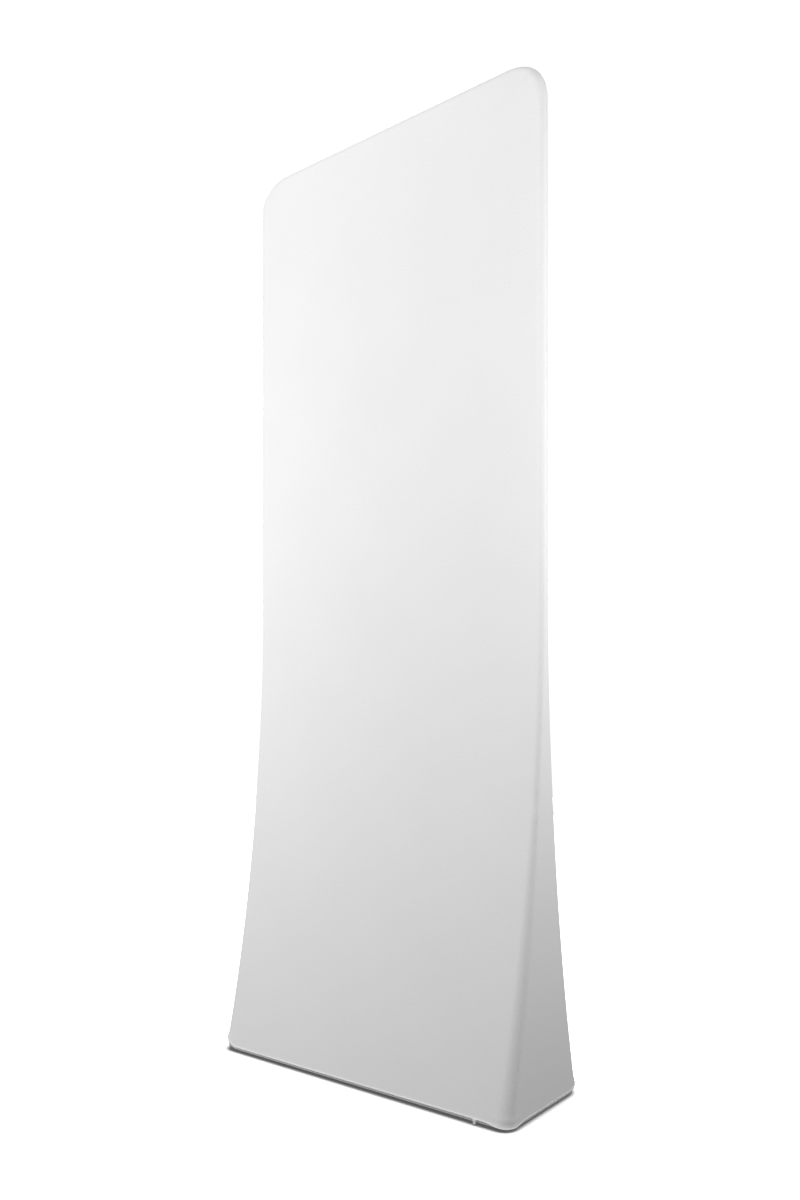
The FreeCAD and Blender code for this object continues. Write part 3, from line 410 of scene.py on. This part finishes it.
def hem_outline(bm, inset, height):
    """Rounded outline of the hem, seen from above, as one face."""
    corner = HEM_CORNER - inset
    shift = Matrix.Translation((0, 0, height))
    bmesh.ops.create_grid(bm, x_segments=1, y_segments=1, size=1.0, matrix=shift)
    bmesh.ops.scale(bm, verts=bm.verts, vec=(HALF_WIDTH - inset, HALF_DEPTH - inset, 1))
    bmesh.ops.bevel(bm, geom=bm.verts[:], offset=corner, affect="VERTICES", segments=16, profile=0.5,
                    material=-1)
    runs = [edge for edge in bm.edges if edge.calc_length() > HEM_CORNER]
    bmesh.ops.subdivide_edges(bm, edges=runs, cuts=60)


def hem_place(walk):
    """Point on the hem at a distance round it from the front middle, and the ways outwards and onwards."""
    runs = []
    for half, turn in ((HALF_WIDTH, 0), (HALF_DEPTH, 1), (HALF_WIDTH, 2), (HALF_DEPTH, 3)):
        runs.append((2 * (half - HEM_CORNER), turn, False))
        runs.append((HEM_CORNER * math.pi / 2, turn, True))
    walk = (walk + HALF_WIDTH - HEM_CORNER) % sum(length for length, _, _ in runs)
    for length, turn, curved in runs:
        if walk <= length:
            break
        walk -= length
    ends = ((1, -1), (1, 1), (-1, 1), (-1, -1))[turn]
    centre = Vector((ends[0] * (HALF_WIDTH - HEM_CORNER), ends[1] * (HALF_DEPTH - HEM_CORNER), 0))
    angle = turn * math.pi / 2 + (walk / HEM_CORNER if curved else 0.0)
    outwards = Vector((math.sin(angle), -math.cos(angle), 0))
    forwards = Vector((math.cos(angle), math.sin(angle), 0))
    place = centre + outwards * HEM_CORNER
    if not curved:
        place -= forwards * (length - walk)
    return place, outwards, forwards


def hem_length():
    """Once round the hem."""
    straight = 4 * (HALF_WIDTH + HALF_DEPTH - 2 * HEM_CORNER)
    return straight + 2 * math.pi * HEM_CORNER


def zip_mesh(low, high, towards, tuck=0.0):
    """Tape round the hem with a row of moulded teeth on the edge that faces the other half."""
    bm = bmesh.new()
    hem_outline(bm, TAPE_INSET + tuck, low)
    ring = bmesh.ops.inset_region(bm, faces=bm.faces[:], thickness=TAPE_THICKNESS, use_boundary=True)["faces"]
    bmesh.ops.delete(bm, geom=[face for face in bm.faces if face not in ring], context="FACES")
    grown = bmesh.ops.extrude_face_region(bm, geom=bm.faces[:])["geom"]
    raised = [item for item in grown if isinstance(item, bmesh.types.BMVert)]
    bmesh.ops.translate(bm, verts=raised, vec=(0, 0, high - low))
    spread_out = (HALF_WIDTH / (HALF_WIDTH - tuck), HALF_DEPTH / (HALF_DEPTH - tuck), 1)
    bmesh.ops.scale(bm, verts=raised, vec=spread_out)
    bmesh.ops.recalc_face_normals(bm, faces=bm.faces)
    for vert in bm.verts:
        vert.co.z += zip_ride(vert.co.x, vert.co.y)
    count = round(hem_length() / TOOTH_PITCH)
    edge = high if towards > 0 else low
    for number in range(count):
        place, outwards, forwards = hem_place(number * hem_length() / count)
        place.z = edge - towards * TOOTH_BACK + zip_ride(place.x, place.y)
        place -= outwards * TOOTH_INSET
        turn = Matrix((forwards, outwards, (0, 0, 1))).transposed().to_4x4()
        size = Matrix.Diagonal((*TOOTH_SIZE, 1))
        bmesh.ops.create_cube(bm, size=1.0, matrix=Matrix.Translation(place) @ turn @ size)
    return bm


def piping_mesh():
    """Thin piping sewn round the hem, just above the zip."""
    around, along_hem = 8, 480
    bm = bmesh.new()
    bmesh.ops.create_grid(bm, x_segments=along_hem, y_segments=around, size=1.0)
    for vert in bm.verts:
        place, outwards, _ = hem_place((vert.co.x + 1) / 2 * hem_length())
        ride, stand = hem_ride(place.x, place.y)
        turn = vert.co.y * math.pi
        place += outwards * (stand + PIPING_RADIUS * math.cos(turn))
        vert.co = place + Vector((0, 0, HEM + ride + PIPING_RADIUS * (1 + math.sin(turn))))
    bmesh.ops.remove_doubles(bm, verts=bm.verts, dist=MERGE)
    bmesh.ops.recalc_face_normals(bm, faces=bm.faces)
    for face in bm.faces:
        face.smooth = True
    return bm


def flap_mesh():
    """Fabric bottom, cut out for the foot screws."""
    bm = bmesh.new()
    hem_outline(bm, TUCK, FLAP_LOW)
    for vert in bm.verts:
        vert.co.z += zip_ride(vert.co.x, vert.co.y)
    rim = bmesh.ops.inset_region(bm, faces=bm.faces[:], thickness=FLAP_RIM, use_boundary=True)["faces"]
    middle = [face for face in bm.faces if face not in rim]
    inner = middle[0].edges[:]
    for vert in middle[0].verts:
        vert.co.z = FLAP_LOW
    bmesh.ops.delete(bm, geom=middle, context="FACES_ONLY")
    for foot in ("front_left", "front_right", "rear_left", "rear_right"):
        low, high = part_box(f"foot_{foot}")
        spot = Matrix.Translation(((low.x + high.x) / 2, (low.y + high.y) / 2, FLAP_LOW))
        hole = bmesh.ops.create_circle(bm, segments=16, radius=SCREW_HOLE, matrix=spot)["verts"]
        inner += [edge for edge in bm.edges if edge.verts[0] in hole]
    bmesh.ops.triangle_fill(bm, edges=inner, use_beauty=True, normal=(0, 0, -1))
    bmesh.ops.recalc_face_normals(bm, faces=bm.faces)
    pattern = bm.loops.layers.uv.new("pattern")
    to_seam = bm.verts.layers.float.new("to_seam")
    for vert in bm.verts:
        vert[to_seam] = NO_SEAM
        for loop in vert.link_loops:
            loop[pattern].uv = vert.co.xy
    return bm


def make_zip(knit, tape):
    """Both rows of the zip, the piping above them and the flap below."""
    low, high = (corner.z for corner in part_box("zip_half_sleeve"))
    upper = zip_mesh(low, high, -1)
    make_piece("zip_row_sleeve", upper, "sleeve", tape, ["zip_half_sleeve"])
    low, high = (corner.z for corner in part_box("zip_half_flap"))
    lower = zip_mesh(low, high, 1, TUCK)
    make_piece("zip_row_flap", lower, "frame", tape, ["zip_half_flap"])
    make_piece("hem_piping", piping_mesh(), "sleeve", satin_cord())
    flap = make_piece("knit_base_flap", flap_mesh(), "frame", knit, ["base_flap"])
    give_thickness(flap, FABRIC)


# Springs behind the buttons

def spring_mesh(button):
    """The hairpin spring behind one button, taken from the frame's set of them."""
    low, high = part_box(button)
    middle = (low + high) / 2
    bm = bmesh.new()
    bm.from_mesh(frame["nodes"]["snap_springs"].data)
    bmesh.ops.remove_doubles(bm, verts=bm.verts, dist=MERGE)
    fresh = [min(bm.verts, key=lambda vert: (vert.co - middle).length)]
    kept = set(fresh)
    while fresh:
        vert = fresh.pop()
        joined = {edge.other_vert(vert) for edge in vert.link_edges} - kept
        kept |= joined
        fresh += joined
    bmesh.ops.delete(bm, geom=[vert for vert in bm.verts if vert not in kept], context="VERTS")
    return bm


def make_springs(finish):
    """One spring for each button that presses in, taken from the frame's set of them; it rides on no body."""
    for joint in frame["joints"]:
        if not joint["name"].endswith("_press"):
            continue
        button = joint["child"]
        bm = spring_mesh(button)
        spring = loose_piece(button.replace("button", "spring"), bm, finish, ["snap_springs"])
        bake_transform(spring)


# Finishes

def grey(level):
    return (level, level, level)


def new_finish(name, colour, roughness, **sockets):
    """A shader with its plain values set, and the node tools to add detail."""
    finish = bpy.data.materials.new(name)
    finish.use_nodes = True
    nodes = finish.node_tree.nodes
    shader = nodes["Principled BSDF"]
    shader.inputs["Base Color"].default_value = (*colour, 1)
    shader.inputs["Roughness"].default_value = roughness
    for socket, number in sockets.items():
        shader.inputs[socket.replace("_", " ").title()].default_value = number
    return finish, nodes, finish.node_tree.links, shader


def sized(nodes, links, source, scale):
    """Coordinates of the piece, stretched."""
    place = nodes.new("ShaderNodeTexCoord")
    mapping = nodes.new("ShaderNodeMapping")
    mapping.inputs["Scale"].default_value = scale
    links.new(place.outputs[source], mapping.inputs["Vector"])
    return mapping.outputs["Vector"]


def noise(nodes, links, where, scale, detail=3.0):
    """Soft random specks, finer with a larger scale."""
    cloud = nodes.new("ShaderNodeTexNoise")
    cloud.inputs["Scale"].default_value = scale
    cloud.inputs["Detail"].default_value = detail
    links.new(where, cloud.inputs["Vector"])
    return cloud.outputs["Fac"]


def spread(nodes, links, value, low, high, socket):
    """A 0 to 1 value turned into a range on a socket."""
    reach = nodes.new("ShaderNodeMapRange")
    reach.inputs["To Min"].default_value = low
    reach.inputs["To Max"].default_value = high
    links.new(value, reach.inputs["Value"])
    links.new(reach.outputs["Result"], socket)


def tint(nodes, links, value, dark, light, socket):
    """A 0 to 1 value turned into a colour on a socket."""
    ramp = nodes.new("ShaderNodeValToRGB")
    ramp.color_ramp.elements[0].color = (*dark, 1)
    ramp.color_ramp.elements[1].color = (*light, 1)
    ramp.color_ramp.elements[0].position = MOST_FROM
    ramp.color_ramp.elements[1].position = MOST_TO
    links.new(value, ramp.inputs["Fac"])
    links.new(ramp.outputs["Color"], socket)


def relief(nodes, links, value, depth, strength, shader, under=None):
    """Fine raised detail, laid over any that is there."""
    bump = nodes.new("ShaderNodeBump")
    bump.inputs["Strength"].default_value = strength
    bump.inputs["Distance"].default_value = depth
    links.new(value, bump.inputs["Height"])
    if under:
        links.new(under, bump.inputs["Normal"])
    links.new(bump.outputs["Normal"], shader.inputs["Normal"])
    return bump.outputs["Normal"]


def calculate(nodes, links, operation, first, second):
    """One operation on two values, each a socket or a number."""
    node = nodes.new("ShaderNodeMath")
    node.operation = operation
    for socket, value in zip(node.inputs, (first, second)):
        if isinstance(value, (int, float)):
            socket.default_value = value
        else:
            links.new(value, socket)
    return node.outputs[0]


def ribs(nodes, links, where, direction, pitch):
    """Even waves at about a pitch in metres."""
    wave = nodes.new("ShaderNodeTexWave")
    wave.bands_direction = direction
    wave.inputs["Scale"].default_value = 2 * math.pi / WAVE_TURN / pitch
    links.new(where, wave.inputs["Vector"])
    return wave.outputs["Fac"]


def white_knit():
    """Fine warp knit with a soft sheen, topstitched along its seams."""
    finish, nodes, links, shader = new_finish("white_knit", grey(0.80), roughness=0.8, sheen_weight=0.05,
                                              sheen_roughness=0.4)
    where = sized(nodes, links, "UV", (1, 1, 1))
    clouds = noise(nodes, links, where, scale=5.0)
    specks = noise(nodes, links, where, scale=300.0, detail=1.0)
    heather = calculate(nodes, links, "ADD", calculate(nodes, links, "MULTIPLY", clouds, CLOUD_SHARE),
                        calculate(nodes, links, "MULTIPLY", specks, 1 - CLOUD_SHARE))
    tint(nodes, links, heather, grey(0.772), grey(0.828), shader.inputs["Base Color"])
    spread(nodes, links, noise(nodes, links, where, scale=900.0), 0.7, 0.9, shader.inputs["Roughness"])
    loops = calculate(nodes, links, "MULTIPLY", ribs(nodes, links, where, "X", WALE),
                      ribs(nodes, links, where, "Y", COURSE))
    weave = relief(nodes, links, loops, depth=0.00015, strength=0.15, shader=shader)
    seam = nodes.new("ShaderNodeAttribute")
    seam.attribute_name = "to_seam"
    past_line = calculate(nodes, links, "SUBTRACT", seam.outputs["Fac"], STITCH_LINE)
    off_line = calculate(nodes, links, "ABSOLUTE", past_line, 0)
    on_line = calculate(nodes, links, "LESS_THAN", off_line, STITCH_HALF)
    dashes = calculate(nodes, links, "GREATER_THAN", ribs(nodes, links, where, "Y", STITCH_PITCH), STITCH_GAP)
    stitches = calculate(nodes, links, "MULTIPLY", on_line, dashes)
    relief(nodes, links, stitches, depth=0.0003, strength=0.5, shader=shader, under=weave)
    return finish


def woven_tape():
    """White zip tape with fine ribs."""
    finish, nodes, links, shader = new_finish("white_zip_tape", grey(0.86), roughness=0.6)
    where = sized(nodes, links, "Object", (1, 1, 1))
    ribbing = calculate(nodes, links, "MULTIPLY", ribs(nodes, links, where, "X", pitch=0.0007),
                        ribs(nodes, links, where, "Z", pitch=0.0005))
    relief(nodes, links, ribbing, depth=0.0001, strength=0.3, shader=shader)
    clouds = noise(nodes, links, where, scale=60.0)
    tint(nodes, links, clouds, grey(0.83), grey(0.89), shader.inputs["Base Color"])
    return finish


def satin_cord():
    """White piping with a fine twist."""
    finish, nodes, links, shader = new_finish("white_piping", grey(0.92), roughness=0.45, sheen_weight=0.2)
    where = sized(nodes, links, "Object", (1, 1, 1.6))
    twist = ribs(nodes, links, where, "DIAGONAL", pitch=0.0006)
    relief(nodes, links, twist, depth=0.0001, strength=0.3, shader=shader)
    tint(nodes, links, twist, grey(0.90), grey(0.94), shader.inputs["Base Color"])
    return finish


def white_enamel():
    """Lacquered zinc casting with a slight orange peel."""
    finish, nodes, links, shader = new_finish("white_enamel", grey(0.84), roughness=0.3, coat_weight=0.3)
    where = sized(nodes, links, "Object", (1, 1, 1))
    peel = noise(nodes, links, where, scale=2500.0)
    relief(nodes, links, peel, depth=0.00003, strength=0.25, shader=shader)
    spread(nodes, links, noise(nodes, links, where, scale=700.0), 0.25, 0.4, shader.inputs["Roughness"])
    return finish


def drawn_metal(name, dark, light, smooth, dull, grain):
    """Bare metal with fine drawing marks along the pieces."""
    finish, nodes, links, shader = new_finish(name, light, dull, metallic=1.0)
    marks = noise(nodes, links, sized(nodes, links, "Object", grain), scale=1.0, detail=6.0)
    clouds = noise(nodes, links, sized(nodes, links, "Object", (1, 1, 1)), scale=9.0)
    tint(nodes, links, clouds, dark, light, shader.inputs["Base Color"])
    spread(nodes, links, marks, smooth, dull, shader.inputs["Roughness"])
    relief(nodes, links, marks, depth=0.00002, strength=0.3, shader=shader)
    return finish


def moulded(name, dark, light, smooth, dull, grain, depth):
    """Plastic, rubber or powder coat with a fine moulded texture."""
    finish, nodes, links, shader = new_finish(name, dark, dull)
    texture = noise(nodes, links, sized(nodes, links, "Object", (1, 1, 1)), grain, detail=2.0)
    clouds = noise(nodes, links, sized(nodes, links, "Object", (1, 1, 1)), scale=14.0)
    tint(nodes, links, clouds, dark, light, shader.inputs["Base Color"])
    spread(nodes, links, texture, smooth, dull, shader.inputs["Roughness"])
    relief(nodes, links, texture, depth, strength=0.4, shader=shader)
    return finish


def slot_pieces():
    """Node names by the record's material slot."""
    found = {}
    for part in frame["record"]["subparts"]:
        found.setdefault(part["material_slot"], []).append(part["node"])
    return found


def dress_frame():
    """A finish for every CAD piece that stays in view, by what it is made of."""
    finishes = {
        "tube_aluminium": drawn_metal("satin_tube", (0.52, 0.52, 0.53), (0.60, 0.60, 0.61),
                                      smooth=0.30, dull=0.46, grain=(1400, 1400, 30)),
        "spigot_aluminium": drawn_metal("mill_spigot", (0.62, 0.62, 0.63), (0.72, 0.72, 0.73),
                                        smooth=0.2, dull=0.36, grain=(1800, 1800, 60)),
        "small_steel": drawn_metal("zinc_steel", (0.52, 0.52, 0.54), (0.66, 0.66, 0.67),
                                   smooth=0.2, dull=0.34, grain=(2500, 2500, 2500)),
        "rivet_aluminium": drawn_metal("rivet_metal", (0.66, 0.66, 0.67), (0.76, 0.76, 0.77),
                                       smooth=0.26, dull=0.4, grain=(2200, 2200, 2200)),
        "plate_steel": moulded("grey_powder_coat", (0.20, 0.20, 0.21), (0.24, 0.24, 0.25),
                               smooth=0.45, dull=0.6, grain=1600.0, depth=0.00006),
        "plug_plastic": moulded("black_nylon", (0.018, 0.018, 0.020), (0.030, 0.030, 0.032),
                                smooth=0.38, dull=0.55, grain=2200.0, depth=0.00003),
        "foot_rubber": moulded("foot_rubber", grey(0.020), grey(0.045),
                               smooth=0.7, dull=0.9, grain=1300.0, depth=0.00005),
        "zip_metal": white_enamel(),
    }
    pieces = slot_pieces()
    for slot, finish in finishes.items():
        for name in pieces[slot]:
            mesh = frame["nodes"][name].data
            mesh.materials.clear()
            mesh.materials.append(finish)
    return finishes


# Floor, light and camera

def make_floor():
    """Pale floor with a painted contact shadow: occlusion darkens its colour right under the hem, and a faint
    painted glow lifts its darkest part.
    """
    bm = bmesh.new()
    bmesh.ops.create_grid(bm, x_segments=1, y_segments=1, size=FLOOR_HALF)
    mesh = bpy.data.meshes.new("floor")
    bm.to_mesh(mesh)
    bm.free()
    floor = bpy.data.objects.new("floor", mesh)
    bpy.context.scene.collection.objects.link(floor)
    finish, nodes, links, shader = new_finish("studio_floor", grey(0.9), roughness=0.9)
    # Painted contact shadow: occlusion near the hem darkens the floor's colour.
    near = nodes.new("ShaderNodeAmbientOcclusion")
    near.inputs["Distance"].default_value = SHADE_REACH
    near.samples = 16
    links.new(calculate(nodes, links, "POWER", near.outputs["AO"], SHADE_POWER), shader.inputs["Base Color"])
    # Painted glow: white emission that lifts the floor's darkest painted shade.
    shader.inputs["Emission Color"].default_value = (1, 1, 1, 1)
    shader.inputs["Emission Strength"].default_value = FLOOR_GLOW
    mesh.materials.append(finish)
    floor.visible_diffuse = False
    floor.visible_glossy = False
    return floor


def make_world():
    """White behind the tower, a softer grey as the light on it."""
    world = bpy.data.worlds.new("studio")
    bpy.context.scene.world = world
    world.use_nodes = True
    nodes = world.node_tree.nodes
    links = world.node_tree.links
    soft = nodes["Background"]
    soft.inputs["Color"].default_value = (1, 1, 1, 1)
    soft.inputs["Strength"].default_value = SOFT_LIGHT
    white = nodes.new("ShaderNodeBackground")
    white.inputs["Strength"].default_value = BACKGROUND
    path = nodes.new("ShaderNodeLightPath")
    mix = nodes.new("ShaderNodeMixShader")
    links.new(path.outputs["Is Camera Ray"], mix.inputs[0])
    links.new(soft.outputs[0], mix.inputs[1])
    links.new(white.outputs[0], mix.inputs[2])
    links.new(mix.outputs[0], nodes["World Output"].inputs["Surface"])


def lamp_group(name, objects, state):
    """A collection that says which objects a lamp reaches or leaves out."""
    group = bpy.data.collections.new(name)
    for item in objects:
        group.objects.link(item)
    for entry in group.collection_objects:
        entry.light_linking.link_state = state
    return group


def softbox(name, place, aim, side, watts, lit):
    """Square lamp that shines on one group."""
    lamp = bpy.data.lights.new(name, "AREA")
    lamp.shape = "SQUARE"
    lamp.size = side
    lamp.energy = watts
    holder = bpy.data.objects.new(name, lamp)
    holder.location = place
    holder.rotation_euler = (Vector(aim) - Vector(place)).to_track_quat("-Z", "Y").to_euler()
    holder.visible_camera = False
    bpy.context.scene.collection.objects.link(holder)
    holder.light_linking.receiver_collection = lit


def floor_lamp(lit, shaded_by):
    """Wide light from behind for the floor, shaded by one group."""
    lamp = bpy.data.lights.new("floor_lamp", "SUN")
    lamp.energy = FLOOR_LIGHT
    lamp.angle = math.radians(FLOOR_LIGHT_ANGLE)
    holder = bpy.data.objects.new("floor_lamp", lamp)
    holder.rotation_euler = Vector(FLOOR_LIGHT_WAY).to_track_quat("-Z", "Y").to_euler()
    bpy.context.scene.collection.objects.link(holder)
    holder.light_linking.receiver_collection = lit
    holder.light_linking.blocker_collection = shaded_by


def make_lights(floor):
    """One lamp for the floor alone, shaded by the base plate alone, and softboxes for the tower."""
    plate_only = lamp_group("plate_only", [frame["nodes"]["base_plate"]], "INCLUDE")
    floor_lamp(lamp_group("floor_only", [floor], "INCLUDE"), plate_only)
    all_but_floor = lamp_group("all_but_floor", [floor], "EXCLUDE")
    for name, place, aim, side, watts in SOFTBOXES:
        softbox(name, place, aim, side, watts, all_but_floor)


def make_camera():
    """Stands level in front of the right corner."""
    lens = bpy.data.cameras.new("camera")
    lens.sensor_width = SENSOR
    lens.lens = FOCAL * SENSOR / PICTURE_TALL
    lens.shift_x = (PICTURE_WIDE / 2 - MIDDLE_X) / PICTURE_TALL
    lens.shift_y = (MIDDLE_Y - PICTURE_TALL / 2) / PICTURE_TALL
    camera = bpy.data.objects.new("camera", lens)
    camera.location = CAMERA_PLACE
    camera.rotation_euler = (math.pi / 2, 0, CAMERA_TURN)
    bpy.context.scene.collection.objects.link(camera)
    bpy.context.scene.camera = camera


knit = white_knit()
make_sleeve(knit)
make_zip(knit, woven_tape())
finishes = dress_frame()
make_springs(finishes["small_steel"])
make_world()
make_lights(make_floor())
make_camera()
bpy.context.scene.view_settings.view_transform = "Standard"
